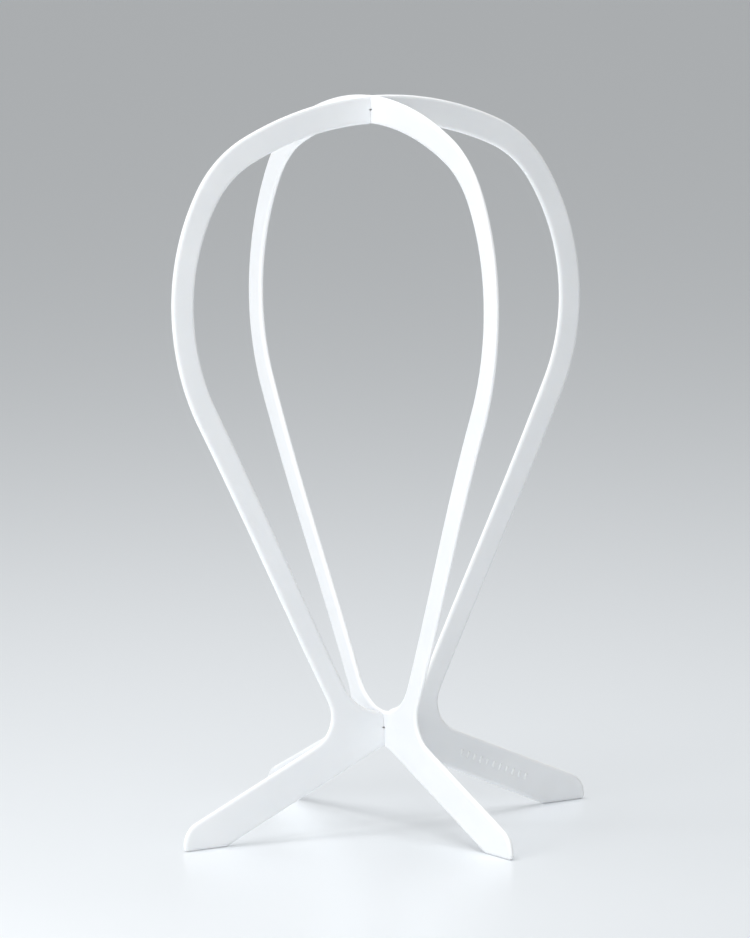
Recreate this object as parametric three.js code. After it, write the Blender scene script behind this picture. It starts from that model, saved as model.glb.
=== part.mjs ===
// Slot-together headphone stand: two flat moulded plates that cross at right angles on the stand's
// vertical axis. Millimetres, +Z up, origin on the resting plane under the crossing.
//
// Each plate is a balloon-shaped loop that narrows to a hub above two splayed legs. The plates lock at
// two half-laps: one in the band at the top of the loops, one in the hub. The outer frame passes over
// the inner frame at the top and under it at the hub, so the inner frame sits inside the outer one.
// The loops are a snap fit between the laps, which leaves each of them bowed a little out of its plane.
//
// A plate is drawn in its own (u, z) plane: u across the plate from its middle, z up from the floor.
// Headings are in degrees, clockwise from +u, so 90 points straight down.

import * as THREE from 'three';

// Whole plate
const HEIGHT = 320;
const PLATE_THICKNESS = 2.4;
const EDGE_ROUNDING = 0.7;

// Loop, outer edge: three tangent arcs from the top of the loop down to its straight flank
const LOOP_OUTSIDE = [
  { radius: 154, turn: 24.7 },
  { radius: 54.5, turn: 34.1 },
  { radius: 104.2, turn: 57.9 },
];

// Loop, inner edge
const BAND_DEPTH_AT_TOP = 12.1;
const LOOP_INSIDE = [
  { radius: 145.3, turn: 24.4 },
  { radius: 43.5, turn: 33.8 },
  { radius: 90.5, turn: 58.1 },
];
const VALLEY_RADIUS = 22.8;

// Bow of each loop out of its plane, from the valley above the hub to the underside of the top band
const LOOP_BOW = 4;
const BOW_START = 51;
const BOW_END = HEIGHT - BAND_DEPTH_AT_TOP;

// Legs
const CROTCH_HEIGHT = 35.8;
const LEG_ANGLE = 23.7;
const LEG_WIDTH = 16.8;
const STEM_FILLET = 13.8;
const FOOT_SPAN = 205;
const TOE_RADIUS = 10.6;
const SOLE_CORNER_RADIUS = 1.2;

// Half-lap slots
const SLOT_CLEARANCE = 0.15;
const SLOT_HALF_WIDTH = PLATE_THICKNESS / 2 + SLOT_CLEARANCE;
const SLOT_END_RADIUS = 0.4;
const TOP_LEAD_IN_RADIUS = 1.2;
const VALLEY_LEAD_IN_RADIUS = 4.5;
const CROTCH_LEAD_IN_RADIUS = 2;
const TOP_LAP_HEIGHT = 314;
const HUB_LAP_HEIGHT = 43.5;

// Facets
const ARC_DIVISIONS = 5;
const EDGE_DIVISIONS = 1;
const SHORTEST_EDGE = 0.01;
const LONGEST_EDGE = 12;

const DOWN = 90;
const UP = -90;
const OUTWARD = 0;
const INWARD = 180;

const radians = THREE.MathUtils.degToRad;

/** Unit vector of a heading. */
function direction(heading) {
  return new THREE.Vector2(Math.cos(radians(heading)), -Math.sin(radians(heading)));
}

/** Draws straights and tangent arcs on a path, one after the other. */
class Pen {
  constructor(u, z, heading) {
    this.path = new THREE.Path().moveTo(u, z);
    this.point = new THREE.Vector2(u, z);
    this.heading = heading;
  }

  lineTo(u, z) {
    this.point.set(u, z);
    this.path.lineTo(u, z);
  }

  /** Arc that leaves along the pen's heading; a positive turn is clockwise. */
  arc(radius, turn) {
    const clockwise = turn > 0;
    const toCentre = direction(this.heading + (clockwise ? DOWN : UP)).multiplyScalar(radius);
    const centre = this.point.clone().add(toCentre);
    const start = Math.atan2(-toCentre.y, -toCentre.x);
    this.path.absarc(centre.x, centre.y, radius, start, start - radians(turn), clockwise);
    this.heading += turn;
    this.point.copy(centre).sub(direction(this.heading + (clockwise ? DOWN : UP)).multiplyScalar(radius));
  }

  /** Straight on, then a rounded corner onto the line that runs through (u, z) along a heading. */
  roundOnto(u, z, heading, radius) {
    const along = direction(this.heading);
    const next = direction(heading);
    const toCorner = new THREE.Vector2(u, z).sub(this.point).cross(next) / along.cross(next);
    const turn = THREE.MathUtils.euclideanModulo(heading - this.heading + 180, 360) - 180;
    const straight = toCorner - radius * Math.tan(radians(Math.abs(turn) / 2));
    this.lineTo(this.point.x + along.x * straight, this.point.y + along.y * straight);
    this.arc(radius, turn);
  }
}

/** Point and heading where an arc that starts level on the axis has reached u. */
function onTopArc(topZ, radius, u) {
  const heading = THREE.MathUtils.radToDeg(Math.asin(u / radius));
  return { u, z: topZ - radius * (1 - Math.cos(radians(heading))), heading };
}

/** The loop's arcs, from the axis, or from a slot in its top that ends at slotZ. */
function drawLoop(topZ, arcs, slotZ) {
  const [crown, ...sides] = arcs;
  if (slotZ === null) {
    const pen = new Pen(0, topZ, OUTWARD);
    arcs.forEach(({ radius, turn }) => pen.arc(radius, turn));
    return pen;
  }
  const mouth = onTopArc(topZ, crown.radius, SLOT_HALF_WIDTH + 2 * TOP_LEAD_IN_RADIUS);
  const pen = new Pen(0, slotZ, OUTWARD);
  pen.roundOnto(SLOT_HALF_WIDTH, slotZ, topZ > slotZ ? UP : DOWN, SLOT_END_RADIUS);
  pen.roundOnto(mouth.u, mouth.z, mouth.heading, TOP_LEAD_IN_RADIUS);
  pen.lineTo(mouth.u, mouth.z);
  pen.arc(crown.radius, crown.turn - mouth.heading);
  sides.forEach(({ radius, turn }) => pen.arc(radius, turn));
  return pen;
}

/** Half of the plate's outer edge, from the top of the loop down to the crotch between the legs. */
function drawOutsideHalf(topSlotZ, crotchSlotZ) {
  const footEnd = FOOT_SPAN / 2;
  const legTopZ = CROTCH_HEIGHT + LEG_WIDTH / Math.cos(radians(LEG_ANGLE));
  const pen = drawLoop(HEIGHT, LOOP_OUTSIDE, topSlotZ);
  pen.roundOnto(0, legTopZ, LEG_ANGLE, STEM_FILLET);
  pen.roundOnto(footEnd, 0, DOWN, TOE_RADIUS);
  pen.roundOnto(footEnd, 0, INWARD, SOLE_CORNER_RADIUS);
  pen.roundOnto(0, CROTCH_HEIGHT, INWARD + LEG_ANGLE, SOLE_CORNER_RADIUS);
  if (crotchSlotZ === null) {
    pen.lineTo(0, CROTCH_HEIGHT);
    return pen.path;
  }
  pen.roundOnto(SLOT_HALF_WIDTH, crotchSlotZ, UP + 360, CROTCH_LEAD_IN_RADIUS);
  pen.roundOnto(0, crotchSlotZ, INWARD, SLOT_END_RADIUS);
  pen.lineTo(0, crotchSlotZ);
  return pen.path;
}

/** Half of the loop's inner edge, from its top down to the rounded valley above the hub. */
function drawInsideHalf(topSlotZ, valleySlotZ) {
  const pen = drawLoop(HEIGHT - BAND_DEPTH_AT_TOP, LOOP_INSIDE, topSlotZ);
  // The valley's centre is on the axis, where its arc just touches the straight flank.
  const flank = direction(pen.heading);
  const turnLeft = INWARD - pen.heading;
  const flankLength = (pen.point.x - VALLEY_RADIUS * Math.sin(radians(pen.heading))) / -flank.x;
  pen.lineTo(pen.point.x + flank.x * flankLength, pen.point.y + flank.y * flankLength);
  if (valleySlotZ === null) {
    pen.arc(VALLEY_RADIUS, turnLeft);
    return pen.path;
  }
  const mouthU = SLOT_HALF_WIDTH + VALLEY_LEAD_IN_RADIUS;
  const mouthTurn = THREE.MathUtils.radToDeg(Math.asin(mouthU / VALLEY_RADIUS));
  pen.arc(VALLEY_RADIUS, turnLeft - mouthTurn);
  pen.roundOnto(SLOT_HALF_WIDTH, valleySlotZ, DOWN, VALLEY_LEAD_IN_RADIUS);
  pen.roundOnto(0, valleySlotZ, INWARD, SLOT_END_RADIUS);
  pen.lineTo(0, valleySlotZ);
  return pen.path;
}

/** Closed outline from its right half, which runs from one point on the axis to another. */
function mirrored(halfPath) {
  const half = halfPath.getPoints(ARC_DIVISIONS);
  const otherHalf = half.map((point) => new THREE.Vector2(-point.x, point.y)).reverse();
  const outline = [...half, ...otherHalf];
  const corners = outline.filter((point, i) => point.distanceTo(outline.at(i - 1)) > SHORTEST_EDGE);
  return corners.flatMap((point, i) => edgeSteps(corners.at(i - 1), point));
}

/** Points after start, up to end, no further apart than the longest edge. */
function edgeSteps(start, end) {
  const count = Math.ceil(start.distanceTo(end) / LONGEST_EDGE);
  return Array.from({ length: count }, (_, i) => start.clone().lerp(end, (i + 1) / count));
}

/** How far the snapped-in loop stands out of its plane at height z. */
function bowAt(z) {
  const along = THREE.MathUtils.clamp((z - BOW_START) / (BOW_END - BOW_START), 0, 1);
  return (LOOP_BOW * (1 - Math.cos(2 * Math.PI * along))) / 2;
}

/** The plate's solid, upright in the X-Z plane, its thickness centred on Y = 0 and its loop bowed to -Y. */
function plateGeometry({ outside, inside }) {
  const shape = new THREE.Shape(mirrored(outside));
  shape.holes.push(new THREE.Path(mirrored(inside).reverse()));
  const geometry = new THREE.ExtrudeGeometry(shape, {
    depth: PLATE_THICKNESS - 2 * EDGE_ROUNDING,
    bevelThickness: EDGE_ROUNDING,
    bevelSize: EDGE_ROUNDING,
    bevelOffset: -EDGE_ROUNDING,
    bevelSegments: EDGE_DIVISIONS,
  });
  geometry.translate(0, 0, EDGE_ROUNDING - PLATE_THICKNESS / 2);
  geometry.rotateX(Math.PI / 2);
  const position = geometry.attributes.position;
  for (let i = 0; i < position.count; i += 1) {
    position.setY(i, position.getY(i) - bowAt(position.getZ(i)));
  }
  return geometry;
}

function whitePlastic() {
  return new THREE.MeshStandardMaterial({ color: 0xf1f4f5, roughness: 0.42, metalness: 0 });
}

/** Plate across the stand's width: slotted upwards from under its top band, and downwards at its hub. */
function outerFrame() {
  const geometry = plateGeometry({
    outside: drawOutsideHalf(null, null),
    inside: drawInsideHalf(TOP_LAP_HEIGHT + SLOT_CLEARANCE / 2, HUB_LAP_HEIGHT - SLOT_CLEARANCE / 2),
  });
  const mesh = new THREE.Mesh(geometry, whitePlastic());
  mesh.name = 'outer_frame';
  return mesh;
}

/** Plate across the stand's depth: slotted downwards into its top band, and upwards from its crotch. */
function innerFrame() {
  const geometry = plateGeometry({
    outside: drawOutsideHalf(TOP_LAP_HEIGHT - SLOT_CLEARANCE / 2, HUB_LAP_HEIGHT + SLOT_CLEARANCE / 2),
    inside: drawInsideHalf(null, null),
  });
  const mesh = new THREE.Mesh(geometry, whitePlastic());
  mesh.name = 'inner_frame';
  return mesh;
}

const stand = new THREE.Group();
stand.add(outerFrame());

const quarterTurn = new THREE.Group();
quarterTurn.rotation.z = -Math.PI / 2;
quarterTurn.add(innerFrame());
stand.add(quarterTurn);

export default stand;
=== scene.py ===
"""Looks of the slot-together headphone stand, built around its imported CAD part.

Metres in the row frame: +Z up, origin on the floor under the line where the two frames cross.
The outer frame lies across X and the inner frame across Y. Each frame is drawn in its own (u, z)
plane, with u across the frame, and headings are in degrees clockwise from +u.
"""

import math

import bpy
import numpy as np
from mathutils import Matrix, Vector
from mathutils.geometry import delaunay_2d_cdt


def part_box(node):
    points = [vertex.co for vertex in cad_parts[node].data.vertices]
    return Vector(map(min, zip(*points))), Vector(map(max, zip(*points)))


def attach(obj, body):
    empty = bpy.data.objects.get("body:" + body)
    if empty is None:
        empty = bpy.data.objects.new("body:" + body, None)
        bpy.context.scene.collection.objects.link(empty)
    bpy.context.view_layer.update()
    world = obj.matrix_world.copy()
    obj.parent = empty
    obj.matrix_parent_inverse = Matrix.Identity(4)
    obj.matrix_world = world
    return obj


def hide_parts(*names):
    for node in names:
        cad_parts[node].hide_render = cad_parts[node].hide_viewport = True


# Whole plate
THICKNESS = 0.0024
PARTING_RIDGE = 0.00004
PARTING_HALF_WIDTH = 0.00012

# Rounded edge: how far it reaches over the face and down the side, and its share of that in a slot
ROUNDING_WIDTH = 0.0018
ROUNDING_DEPTH = 0.00105
SLOT_ROUNDING = 0.15

# Loop: (radius, turn) of the tangent arcs from the top of the loop down to its straight flank
LOOP_OUTSIDE = ((0.154, 24.7), (0.0545, 34.1), (0.1042, 57.9))
LOOP_INSIDE = ((0.1453, 24.4), (0.0435, 33.8), (0.0905, 58.1))
BAND_DEPTH_AT_TOP = 0.0121
VALLEY_RADIUS = 0.0228

# Bow of each loop out of its plane, from just above the hub to the underside of the top band
LOOP_BOW = 0.004
BOW_START = 0.051

# Legs
CROTCH_HEIGHT = 0.0358
CROTCH_FILLET = 0.003
LEG_ANGLE = 23.7
LEG_WIDTH = 0.0168
STEM_FILLET = 0.0138
FOOT_SPAN = 0.205
TOE_RADIUS = 0.0106
SOLE_CORNER_RADIUS = 0.0020

# Half-lap slots, with a small rounded ear on each side of a slot's closed end
SLOT_CLEARANCE = 0.00006
LAP_GAP = 0.0006
SLOT_HALF_WIDTH = THICKNESS / 2 + SLOT_CLEARANCE
SLOT_EAR_RADIUS = 0.00035
SLOT_EAR_REACH = 0.0006
SLOT_EAR_FILLET = 0.0003
TOP_LEAD_IN_RADIUS = 0.0013
VALLEY_LEAD_IN_RADIUS = 0.0045
CROTCH_LEAD_IN_RADIUS = 0.002
TOP_LAP_HEIGHT = 0.314
HUB_LAP_HEIGHT = 0.0435

# Raised bars on the outer frame's right leg: extent across the frame, then each bar's size and
# the rings of its dome as (share of the bar's outline, share of its height)
BARS_FROM = 0.0385
BARS_TO = 0.0715
BAR_COUNT = 11
BAR_LENGTH = 0.0030
BAR_WIDTH = 0.0012
BAR_HEIGHT = 0.0004
BAR_SIDES = 20
BAR_RINGS = ((1.0, -0.5), (1.0, 0.1), (0.9, 0.55), (0.7, 0.85), (0.4, 1.0))

# Facets
STEP = 0.0016
ARC_STEP = 9.0
EDGE_STEPS = 6
CAP_GRID = 0.004
CAP_MARGIN = 0.0016
SLOT_BLEND = 0.003

# Smallest distance between two points of a cap, and what stands in for a level edge's rise of zero
CAP_TOLERANCE = 1e-9
LEVEL_EDGE_RISE = 1e-12

# Headings, and the side of the pen's way on which the material lies
DOWN = 90.0
UP = -90.0
OUTWARD = 0.0
INWARD = 180.0
MATERIAL_ON_RIGHT = 90.0
MATERIAL_ON_LEFT = -90.0

# White plastic
PLASTIC_DARK = (0.845, 0.862, 0.880, 1)
PLASTIC_LIGHT = (0.885, 0.900, 0.915, 1)
# Painted highlight: paler colour given to the rounded edges and the raised bars
PLASTIC_EDGE_HIGHLIGHT = (0.93, 0.94, 0.95, 1)
PLASTIC_IOR = 1.49
PLASTIC_SPECULAR = 0.4
PLASTIC_ROUGHNESS = (0.38, 0.50)
SUBSURFACE_WEIGHT = 0.12
SUBSURFACE_RADIUS = (0.004, 0.0035, 0.003)
SUBSURFACE_SCALE = 0.5

# Its noises as (scale, detail), its bumps as (strength, distance), and the part of a noise's
# range that is spread over all of its colours or roughnesses
NOISE_MIDDLE = (0.3, 0.7)
CLOUD_NOISE = (28.0, 4.0)
HANDLING_NOISE = (75.0, 6.0)
WAVE_NOISE = (22.0, 1.0)
GRAIN_NOISE = (2600.0, 3.0)
WAVE_BUMP = (0.5, 0.0002)
GRAIN_BUMP = (0.25, 0.00002)

# Studio floor: semi-gloss white paper on a wide disc
FLOOR_COLOR = (0.80, 0.83, 0.86, 1)
FLOOR_ROUGHNESS = 0.3
FLOOR_RADIUS = 30.0
FLOOR_SIDES = 96

# Softboxes. Places and aims are offsets to the camera's right, towards the camera, and up.
OVERHEAD = {"place": (-0.25, 0.0, 1.35), "aim": (-0.25, -0.1, 0), "size": 1.0, "power": 13.6}
KEY = {"place": (-0.42, 0.5, 0.19), "aim": (0, 0, 0.12), "size": 0.3, "power": 1.25}
FILL = {"place": (0.1, 1.1, 0.2), "aim": (0, 0, 0.1), "size": 0.8, "power": 2.12}

# Surround: its colour, and its strength on the camera's left and on its right
SURROUND_COLOR = (0.985, 1.0, 1.005, 1)
SURROUND_LEFT = 0.60
SURROUND_RIGHT = 0.34

# Camera
CAMERA_AZIMUTH = 31.19
CAMERA_ELEVATION = 8.049
CAMERA_ROLL = -1.222
CAMERA_DISTANCE = 3.2
CAMERA_LENS = 282.64
SENSOR_WIDTH = 36.0
CAMERA_CLIP_END = 100.0
TARGET_HEIGHT = 0.15722
TARGET_RIGHT = -0.00193

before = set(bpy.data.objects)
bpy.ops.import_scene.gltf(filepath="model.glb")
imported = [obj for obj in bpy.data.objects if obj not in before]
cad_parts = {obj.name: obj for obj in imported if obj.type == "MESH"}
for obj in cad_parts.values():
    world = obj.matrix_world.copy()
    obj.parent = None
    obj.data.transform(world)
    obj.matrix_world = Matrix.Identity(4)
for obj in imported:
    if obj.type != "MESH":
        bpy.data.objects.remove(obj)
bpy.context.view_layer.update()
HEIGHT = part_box("outer_frame")[1].z
BAND_BOTTOM = HEIGHT - BAND_DEPTH_AT_TOP


def direction(heading):
    """Unit vector of a heading."""
    angle = math.radians(heading)
    return Vector((math.cos(angle), -math.sin(angle)))


class Pen:
    """Draws straights and tangent arcs, and keeps each point with its heading."""

    def __init__(self, u, z, heading):
        self.point = Vector((u, z))
        self.heading = heading
        self.points = [self.point.copy()]
        self.headings = [heading]

    def add(self, point, heading):
        """Move to a point and keep it."""
        self.points.append(point.copy())
        self.headings.append(heading)
        self.point = point.copy()
        self.heading = heading

    def line_to(self, u, z):
        """Straight to (u, z), divided into short steps that keep the pen's heading."""
        start = self.point.copy()
        end = Vector((u, z))
        count = math.ceil((end - start).length / STEP)
        for i in range(count):
            self.add(start.lerp(end, (i + 1) / count), self.heading)

    def arc(self, radius, turn):
        """Arc that leaves along the pen's heading; a positive turn is clockwise."""
        side = math.copysign(90.0, turn)
        start = self.heading
        centre = self.point + direction(start + side) * radius
        length = math.radians(abs(turn)) * radius
        count = max(math.ceil(abs(turn) / ARC_STEP), math.ceil(length / STEP))
        for i in range(count):
            heading = start + turn * (i + 1) / count
            self.add(centre - direction(heading + side) * radius, heading)

    def round_onto(self, u, z, heading, radius):
        """Straight on, then a rounded corner onto the line through (u, z) along a heading."""
        along = direction(self.heading)
        ahead = direction(heading)
        to_corner = (Vector((u, z)) - self.point).cross(ahead) / along.cross(ahead)
        turn = (heading - self.heading + 180) % 360 - 180
        straight = to_corner - radius * math.tan(math.radians(abs(turn) / 2))
        self.line_to(*(self.point + along * straight))
        self.arc(radius, turn)

    def leave_slot_end(self, turn_sign):
        """From the axis round the small ear at the slot's end and onto the slot's straight side.

        turn_sign is -1 for a slot that opens upwards and +1 for one that opens downwards.
        """
        self.line_to(SLOT_HALF_WIDTH + SLOT_EAR_REACH - SLOT_EAR_RADIUS, self.point.y)
        self.arc(SLOT_EAR_RADIUS, turn_sign * 180)
        self.line_to(SLOT_HALF_WIDTH + SLOT_EAR_FILLET, self.point.y)
        self.arc(SLOT_EAR_FILLET, -turn_sign * 90)

    def enter_slot_end(self, slot_z, turn_sign):
        """Along the slot's straight side, round the small ear, and to the axis at slot_z.

        turn_sign is +1 for a slot entered from above and -1 for one entered from below.
        """
        self.line_to(self.point.x, slot_z + turn_sign * (2 * SLOT_EAR_RADIUS + SLOT_EAR_FILLET))
        self.arc(SLOT_EAR_FILLET, -turn_sign * 90)
        self.line_to(SLOT_HALF_WIDTH + SLOT_EAR_REACH - SLOT_EAR_RADIUS, self.point.y)
        self.arc(SLOT_EAR_RADIUS, turn_sign * 180)
        self.line_to(0, slot_z)


def draw_loop(top_z, arcs, slot_z):
    """Pen after the loop's arcs, which start on the axis or in a slot that ends at slot_z."""
    if slot_z is None:
        pen = Pen(0, top_z, OUTWARD)
        for radius, turn in arcs:
            pen.arc(radius, turn)
        return pen
    crown_radius, crown_turn = arcs[0]
    mouth_u = SLOT_HALF_WIDTH + 2 * TOP_LEAD_IN_RADIUS
    mouth_heading = math.degrees(math.asin(mouth_u / crown_radius))
    mouth_z = top_z - crown_radius * (1 - math.cos(math.radians(mouth_heading)))
    pen = Pen(0, slot_z, OUTWARD)
    pen.leave_slot_end(-1 if top_z > slot_z else 1)
    pen.round_onto(mouth_u, mouth_z, mouth_heading, TOP_LEAD_IN_RADIUS)
    pen.line_to(mouth_u, mouth_z)
    pen.arc(crown_radius, crown_turn - mouth_heading)
    for radius, turn in arcs[1:]:
        pen.arc(radius, turn)
    return pen


def draw_outside(top_slot_z, crotch_slot_z):
    """Right half of the plate's outer edge, from the top of the loop to the crotch."""
    foot_end = FOOT_SPAN / 2
    leg_slope = math.radians(LEG_ANGLE)
    leg_top_z = CROTCH_HEIGHT + LEG_WIDTH / math.cos(leg_slope)
    pen = draw_loop(HEIGHT, LOOP_OUTSIDE, top_slot_z)
    pen.round_onto(0, leg_top_z, LEG_ANGLE, STEM_FILLET)
    pen.round_onto(foot_end, 0, DOWN, TOE_RADIUS)
    pen.round_onto(foot_end, 0, INWARD, SOLE_CORNER_RADIUS)
    pen.round_onto(0, CROTCH_HEIGHT, INWARD + LEG_ANGLE, SOLE_CORNER_RADIUS)
    if crotch_slot_z is None:
        fillet_u = CROTCH_FILLET * math.sin(leg_slope)
        pen.line_to(fillet_u, CROTCH_HEIGHT - fillet_u * math.tan(leg_slope))
        pen.arc(CROTCH_FILLET, -LEG_ANGLE)
        return pen
    pen.round_onto(SLOT_HALF_WIDTH, crotch_slot_z, UP + 360, CROTCH_LEAD_IN_RADIUS)
    pen.enter_slot_end(crotch_slot_z, -1)
    return pen


def draw_inside(top_slot_z, valley_slot_z):
    """Right half of the loop's inner edge, from its top to the valley above the hub."""
    pen = draw_loop(BAND_BOTTOM, LOOP_INSIDE, top_slot_z)
    flank = direction(pen.heading)
    turn_left = INWARD - pen.heading
    flank_end_u = VALLEY_RADIUS * math.sin(math.radians(pen.heading))
    flank_end = pen.point + flank * ((flank_end_u - pen.point.x) / flank.x)
    pen.line_to(*flank_end)
    if valley_slot_z is None:
        pen.arc(VALLEY_RADIUS, turn_left)
        return pen
    mouth_u = SLOT_HALF_WIDTH + VALLEY_LEAD_IN_RADIUS
    mouth_turn = math.degrees(math.asin(mouth_u / VALLEY_RADIUS))
    pen.arc(VALLEY_RADIUS, turn_left - mouth_turn)
    pen.round_onto(SLOT_HALF_WIDTH, valley_slot_z, DOWN, VALLEY_LEAD_IN_RADIUS)
    pen.enter_slot_end(valley_slot_z, 1)
    return pen


def closed_outline(pen, material_side, slotted):
    """Points, outward normals and share of rounding of the outline whose right half is drawn."""
    half = np.array(pen.points)
    normals = np.array([direction(heading - material_side) for heading in pen.headings])
    flip = np.array((-1.0, 1.0))
    points = np.concatenate((half, (half * flip)[-2:0:-1]))
    normals = np.concatenate((normals, (normals * flip)[-2:0:-1]))
    rounding = np.ones(len(points))
    if slotted:
        beyond_slot = (np.abs(points[:, 0]) - SLOT_HALF_WIDTH - SLOT_EAR_REACH) / SLOT_BLEND
        rounding = SLOT_ROUNDING + (1 - SLOT_ROUNDING) * np.clip(beyond_slot, 0, 1)
    return points, normals, rounding


def edge_rings(rounding):
    """Rings across the plate's edge, from its -Y face to its +Y face, at each point's rounding.

    Each ring is (inset from the outline, Y, edge-wise part of the normal, Y part of the normal).
    """
    width = ROUNDING_WIDTH * rounding
    depth = ROUNDING_DEPTH * rounding
    middle = np.zeros_like(rounding)
    face_to_ridge = []
    for angle in np.linspace(0, math.pi / 2, EDGE_STEPS + 1):
        out, face = math.sin(angle) / ROUNDING_WIDTH, math.cos(angle) / ROUNDING_DEPTH
        length = math.hypot(out, face)
        inset = width * (1 - math.sin(angle))
        height = THICKNESS / 2 - depth * (1 - math.cos(angle))
        face_to_ridge.append((inset, height, out / length, face / length))
    face_to_ridge.append((middle, middle + PARTING_HALF_WIDTH, 1.0, 0.0))
    front = [(inset, -height, out, -face) for inset, height, out, face in face_to_ridge]
    ridge = (middle - PARTING_RIDGE, middle, 1.0, 0.0)
    return [*front, ridge, *reversed(face_to_ridge)]


def bow_at(z):
    """How far the snapped-in loop stands out of its plane at height z, and its slope there."""
    span = BAND_BOTTOM - BOW_START
    along = np.clip((z - BOW_START) / span, 0, 1)
    offset = LOOP_BOW * (1 - np.cos(2 * np.pi * along)) / 2
    slope = LOOP_BOW * np.pi / span * np.sin(2 * np.pi * along)
    return offset, slope


def inside_polygon(points, polygon):
    """Which of the points lie inside a closed polygon."""
    x, y = points[:, 0, None], points[:, 1, None]
    x0, y0 = polygon[:, 0], polygon[:, 1]
    x1, y1 = np.roll(x0, -1), np.roll(y0, -1)
    rise = np.where(y1 == y0, LEVEL_EDGE_RISE, y1 - y0)
    crosses = ((y0 > y) != (y1 > y)) & (x < (x1 - x0) * (y - y0) / rise + x0)
    return crosses.sum(1) % 2 == 1


def grid_coordinates(low, high):
    """Multiples of the cap's grid size between two values."""
    return np.arange(math.ceil(low / CAP_GRID), math.floor(high / CAP_GRID) + 1) * CAP_GRID


def cap_triangles(outer, hole):
    """Triangles over the flat face between two outlines, and the grid points added inside it."""
    low, high = outer.min(0), outer.max(0)
    columns = grid_coordinates(low[0], high[0])
    rows = grid_coordinates(low[1], high[1])
    grid = np.array([(u, z) for z in rows for u in columns])
    rim = np.concatenate((outer, hole))
    grid = grid[inside_polygon(grid, outer) & ~inside_polygon(grid, hole)]
    gap = np.linalg.norm(grid[:, None, :] - rim[None, :, :], axis=2).min(1)
    grid = grid[gap > CAP_MARGIN]
    count = len(outer)
    edges = [(i, (i + 1) % count) for i in range(count)]
    edges += [(count + i, count + (i + 1) % len(hole)) for i in range(len(hole))]
    everything = [Vector(point) for point in np.concatenate((rim, grid))]
    vertices, _, faces, _, _, _ = delaunay_2d_cdt(everything, edges, [], 0, CAP_TOLERANCE)
    if len(vertices) != len(everything):
        raise ValueError("the cap's outline crosses itself")
    triangles = np.array(faces)
    flat = np.array([vertex[:] for vertex in vertices])
    centres = flat[triangles].mean(1)
    kept = triangles[inside_polygon(centres, outer) & ~inside_polygon(centres, hole)]
    return kept, grid


class PlateSurface:
    """Points, normals, painted highlight weights and faces of a flat plate in the X-Z plane, as
    they are added.
    """

    def __init__(self):
        self.positions, self.normals, self.edge_marks, self.faces = [], [], [], []
        self.total = 0

    def add_points(self, positions, normals, edge_mark):
        """Points that share one weight of the painted highlight."""
        count = len(positions)
        self.positions.append(positions)
        self.normals.append(normals)
        self.edge_marks.append(np.full(count, edge_mark))
        self.total += count

    def add_edge(self, points, outward, rounding, is_hole):
        """Rings round one outline; returns the indices of its first ring and of its last."""
        rings = edge_rings(rounding)
        count = len(points)
        around = self.total + np.arange(count)
        ahead = np.roll(around, -1)
        for inset, y, out, face in rings:
            ring = points - outward * inset[:, None]
            positions = np.column_stack((ring[:, 0], y, ring[:, 1]))
            facing = (outward[:, 0] * out, np.full(count, face), outward[:, 1] * out)
            # The edge-wise part of each ring's normal is its weight of the painted highlight
            self.add_points(positions, np.column_stack(facing), out)
        for i in range(len(rings) - 1):
            quads = np.column_stack((around, ahead, ahead + count, around + count)) + i * count
            self.faces += (quads[:, ::-1] if is_hole else quads).tolist()
        return around, around + (len(rings) - 1) * count

    def add_cap(self, facing, rims, triangles, grid):
        """The flat face towards -Y or +Y, between the two rims."""
        count = len(grid)
        lookup = np.concatenate((*rims, self.total + np.arange(count)))
        level = np.full(count, facing * THICKNESS / 2)
        positions = np.column_stack((grid[:, 0], level, grid[:, 1]))
        self.add_points(positions, np.tile((0.0, facing, 0.0), (count, 1)), 0.0)
        cap = lookup[triangles]
        self.faces += (cap if facing < 0 else cap[:, ::-1]).tolist()

    def bowed_mesh(self, name):
        """Mesh of the plate with its loop bowed towards -Y."""
        co = np.concatenate(self.positions)
        directions = np.concatenate(self.normals)
        offset, slope = bow_at(co[:, 2])
        co[:, 1] -= offset
        directions[:, 2] += directions[:, 1] * slope
        directions /= np.linalg.norm(directions, axis=1, keepdims=True)
        mesh = bpy.data.meshes.new(name)
        mesh.from_pydata(co.tolist(), [], self.faces)
        mark_painted_highlight(mesh, np.concatenate(self.edge_marks))
        mesh.shade_smooth()
        mesh.normals_split_custom_set_from_vertices(directions.tolist())
        mesh.update()
        return mesh


def mark_painted_highlight(mesh, marks):
    """Store how far each point is on a rounded edge, from 0 on a face to 1 on the rim, as the
    weight of the painted highlight.
    """
    attribute = mesh.attributes.new("edge", "FLOAT", "POINT")
    attribute.data.foreach_set("value", np.asarray(marks, np.float32))


def plate_mesh(name, outside, inside, slotted):
    """Mesh of a plate between two drawn outlines, one of which has the slots."""
    outlines = (
        closed_outline(outside, MATERIAL_ON_RIGHT, slotted == "outside"),
        closed_outline(inside, MATERIAL_ON_LEFT, slotted == "inside"),
    )
    surface = PlateSurface()
    rims = [surface.add_edge(*outline, is_hole) for is_hole, outline in enumerate(outlines)]
    cap_outlines = [
        points - outward * (ROUNDING_WIDTH * rounding)[:, None]
        for points, outward, rounding in outlines
    ]
    triangles, grid = cap_triangles(*cap_outlines)
    for facing, face_rims in zip((-1.0, 1.0), zip(*rims)):
        surface.add_cap(facing, face_rims, triangles, grid)
    return surface.bowed_mesh(name)


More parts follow.
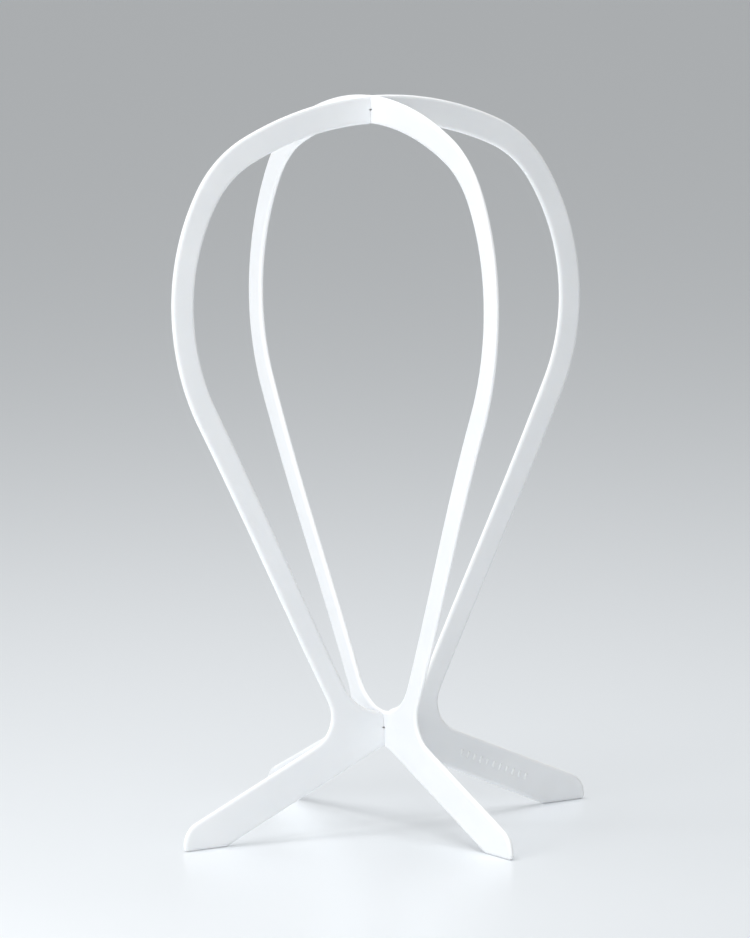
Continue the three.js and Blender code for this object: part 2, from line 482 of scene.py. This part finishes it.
def white_plastic():
    """Cool white satin moulded plastic, with a painted highlight that makes it paler along its
    edges.
    """
    material = bpy.data.materials.new("white_plastic")
    material.use_nodes = True
    tree = material.node_tree
    nodes, links = tree.nodes, tree.links
    shader = nodes["Principled BSDF"]
    shader.inputs["Subsurface Weight"].default_value = SUBSURFACE_WEIGHT
    shader.inputs["Subsurface Radius"].default_value = SUBSURFACE_RADIUS
    shader.inputs["Subsurface Scale"].default_value = SUBSURFACE_SCALE
    shader.inputs["IOR"].default_value = PLASTIC_IOR
    shader.inputs["Specular IOR Level"].default_value = PLASTIC_SPECULAR

    place = nodes.new("ShaderNodeTexCoord")

    def noise(scale, detail):
        texture = nodes.new("ShaderNodeTexNoise")
        texture.inputs["Scale"].default_value = scale
        texture.inputs["Detail"].default_value = detail
        links.new(place.outputs["Object"], texture.inputs["Vector"])
        return texture.outputs["Fac"]

    def bump(height, strength, distance):
        node = nodes.new("ShaderNodeBump")
        node.inputs["Strength"].default_value = strength
        node.inputs["Distance"].default_value = distance
        links.new(height, node.inputs["Height"])
        return node

    tint = nodes.new("ShaderNodeValToRGB")
    for stop, position, color in zip(
        tint.color_ramp.elements, NOISE_MIDDLE, (PLASTIC_DARK, PLASTIC_LIGHT)
    ):
        stop.position = position
        stop.color = color
    links.new(noise(*CLOUD_NOISE), tint.inputs["Fac"])

    # Mask of the painted highlight, high on the rounded rims and on the raised bars
    edge = nodes.new("ShaderNodeAttribute")
    edge.attribute_name = "edge"

    painted_edge_highlight = nodes.new("ShaderNodeMix")
    painted_edge_highlight.data_type = "RGBA"
    painted_edge_highlight.inputs["B"].default_value = PLASTIC_EDGE_HIGHLIGHT
    links.new(edge.outputs["Fac"], painted_edge_highlight.inputs["Factor"])
    links.new(tint.outputs["Color"], painted_edge_highlight.inputs["A"])
    links.new(painted_edge_highlight.outputs["Result"], shader.inputs["Base Color"])

    sheen = nodes.new("ShaderNodeMapRange")
    sheen.inputs["From Min"].default_value, sheen.inputs["From Max"].default_value = NOISE_MIDDLE
    sheen.inputs["To Min"].default_value, sheen.inputs["To Max"].default_value = PLASTIC_ROUGHNESS
    links.new(noise(*HANDLING_NOISE), sheen.inputs["Value"])
    links.new(sheen.outputs["Result"], shader.inputs["Roughness"])

    wave_bump = bump(noise(*WAVE_NOISE), *WAVE_BUMP)
    grain_bump = bump(noise(*GRAIN_NOISE), *GRAIN_BUMP)
    links.new(wave_bump.outputs["Normal"], grain_bump.inputs["Normal"])
    links.new(grain_bump.outputs["Normal"], shader.inputs["Normal"])
    return material


def floor_paper():
    """Semi-gloss white studio paper."""
    material = bpy.data.materials.new("floor_paper")
    material.use_nodes = True
    shader = material.node_tree.nodes["Principled BSDF"]
    shader.inputs["Roughness"].default_value = FLOOR_ROUGHNESS
    shader.inputs["Base Color"].default_value = FLOOR_COLOR
    return material


def add_object(name, data):
    """New object in the scene."""
    item = bpy.data.objects.new(name, data)
    bpy.context.scene.collection.objects.link(item)
    return item


def add_plate(name, node, mesh, material):
    """Visible piece that stands for one of the CAD's nodes."""
    mesh.materials.append(material)
    piece = add_object(name, mesh)
    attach(piece, "root")
    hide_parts(node)


def add_raised_bars(material):
    """Row of small raised bars along the outer frame's right leg, where the real one has a mark."""
    middle_u = (BARS_FROM + BARS_TO) / 2
    slope = math.radians(LEG_ANGLE)
    middle_z = CROTCH_HEIGHT + LEG_WIDTH / 2 / math.cos(slope) - middle_u * math.tan(slope)
    middle = Vector((middle_u, -THICKNESS / 2, middle_z))
    along = Vector((math.cos(slope), 0, -math.sin(slope)))
    across = Vector((math.sin(slope), 0, math.cos(slope)))
    spacing = (BARS_TO - BARS_FROM) / math.cos(slope) / (BAR_COUNT - 1)
    co, faces = [], []
    for bar in range(BAR_COUNT):
        centre = middle + along * spacing * (bar - (BAR_COUNT - 1) / 2)
        add_bar(co, faces, centre, along, across)
    mesh = bpy.data.meshes.new("raised_bars")
    mesh.from_pydata(co, [], faces)
    # Painted highlight: each whole bar takes the paler edge colour
    mark_painted_highlight(mesh, np.ones(len(co)))
    mesh.materials.append(material)
    mesh.shade_smooth()
    piece = add_object("raised_bars", mesh)
    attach(piece, "root")


def add_bar(co, faces, centre, along, across):
    """Closed pill-shaped bar with a domed top, sunk a little into the -Y face it stands on."""
    radius = BAR_WIDTH / 2
    straight = BAR_LENGTH / 2 - radius
    outline = []
    for i in range(BAR_SIDES):
        angle = 2 * math.pi * (i + 0.5) / BAR_SIDES
        shift = math.copysign(straight, math.sin(angle))
        outline.append((radius * math.cos(angle), radius * math.sin(angle) + shift))
    first = len(co)
    for share, rise in BAR_RINGS:
        for side, length in outline:
            flat = along * side * share + across * length * share
            co.append(centre + flat + Vector((0, -rise * BAR_HEIGHT, 0)))
    for ring in range(len(BAR_RINGS) - 1):
        start = first + ring * BAR_SIDES
        for i in range(BAR_SIDES):
            j = (i + 1) % BAR_SIDES
            faces.append((start + i, start + j, start + BAR_SIDES + j, start + BAR_SIDES + i))
    faces.append(tuple(range(first + BAR_SIDES - 1, first - 1, -1)))
    last = first + (len(BAR_RINGS) - 1) * BAR_SIDES
    faces.append(tuple(range(last, last + BAR_SIDES)))


def add_floor(material):
    """Wide level disc that the stand rests on."""
    angles = [2 * math.pi * i / FLOOR_SIDES for i in range(FLOOR_SIDES)]
    rim = [(FLOOR_RADIUS * math.cos(angle), FLOOR_RADIUS * math.sin(angle), 0) for angle in angles]
    mesh = bpy.data.meshes.new("floor")
    mesh.from_pydata(rim, [], [tuple(range(FLOOR_SIDES))])
    mesh.materials.append(material)
    add_object("floor", mesh)


def level_directions():
    """Level directions to the camera's right and towards the camera."""
    azimuth = math.radians(CAMERA_AZIMUTH)
    right = Vector((math.cos(azimuth), -math.sin(azimuth), 0))
    toward_camera = Vector((-math.sin(azimuth), -math.cos(azimuth), 0))
    return right, toward_camera


def studio_place(across, toward_camera, height):
    """Point given by its offset to the camera's right, towards the camera, and up."""
    right, toward = level_directions()
    return right * across + toward * toward_camera + Vector((0, 0, height))


def add_camera():
    """Camera at the photo's viewing angle."""
    right, toward_camera = level_directions()
    elevation = math.radians(CAMERA_ELEVATION)
    back = toward_camera * math.cos(elevation) + Vector((0, 0, math.sin(elevation)))
    up = back.cross(right)
    roll = math.radians(CAMERA_ROLL)
    rolled_right = right * math.cos(roll) + up * math.sin(roll)
    rolled_up = up * math.cos(roll) - right * math.sin(roll)
    lens = bpy.data.cameras.new("camera")
    lens.lens = CAMERA_LENS
    lens.sensor_width = SENSOR_WIDTH
    lens.clip_end = CAMERA_CLIP_END
    camera = add_object("camera", lens)
    target = studio_place(TARGET_RIGHT, 0, TARGET_HEIGHT)
    turn = Matrix((rolled_right, rolled_up, back)).transposed().to_4x4()
    camera.matrix_world = Matrix.Translation(target + back * CAMERA_DISTANCE) @ turn
    bpy.context.scene.camera = camera


def add_softbox(name, box, mirrored):
    """Square area light that glossy surfaces reflect only if it is mirrored."""
    light = bpy.data.lights.new(name, "AREA")
    light.shape = "SQUARE"
    light.size = box["size"]
    light.energy = box["power"]
    lamp = add_object(name, light)
    lamp.visible_glossy = mirrored
    place = studio_place(*box["place"])
    lamp.location = place
    lamp.rotation_euler = (studio_place(*box["aim"]) - place).to_track_quat("-Z", "Y").to_euler()


def studio_surround():
    """Pale surround, darker on the camera's right."""
    world = bpy.data.worlds.new("studio")
    world.use_nodes = True
    tree = world.node_tree
    nodes, links = tree.nodes, tree.links
    place = nodes.new("ShaderNodeTexCoord")
    across = nodes.new("ShaderNodeVectorMath")
    across.operation = "DOT_PRODUCT"
    across.inputs[1].default_value = level_directions()[0]
    links.new(place.outputs["Generated"], across.inputs[0])
    shade = nodes.new("ShaderNodeMapRange")
    shade.inputs["From Min"].default_value = -1.0
    shade.inputs["To Min"].default_value = SURROUND_LEFT
    shade.inputs["To Max"].default_value = SURROUND_RIGHT
    links.new(across.outputs["Value"], shade.inputs["Value"])
    background = nodes["Background"]
    background.inputs["Color"].default_value = SURROUND_COLOR
    links.new(shade.outputs["Result"], background.inputs["Strength"])
    return world


plastic = white_plastic()
outer_outside = draw_outside(None, None)
outer_inside = draw_inside(TOP_LAP_HEIGHT + LAP_GAP / 2, HUB_LAP_HEIGHT - LAP_GAP / 2)
outer_mesh = plate_mesh("outer_plate", outer_outside, outer_inside, slotted="inside")
add_plate("outer_plate", "outer_frame", outer_mesh, plastic)

inner_outside = draw_outside(TOP_LAP_HEIGHT - LAP_GAP / 2, HUB_LAP_HEIGHT + LAP_GAP / 2)
inner_inside = draw_inside(None, None)
inner_mesh = plate_mesh("inner_plate", inner_outside, inner_inside, slotted="outside")
inner_mesh.transform(Matrix.Rotation(-math.pi / 2, 4, "Z"))
add_plate("inner_plate", "inner_frame", inner_mesh, plastic)

add_raised_bars(plastic)
add_floor(floor_paper())
add_softbox("overhead", OVERHEAD, mirrored=True)
add_softbox("key", KEY, mirrored=False)
add_softbox("fill", FILL, mirrored=False)
bpy.context.scene.world = studio_surround()
add_camera()
bpy.context.scene.view_settings.view_transform = "Standard"
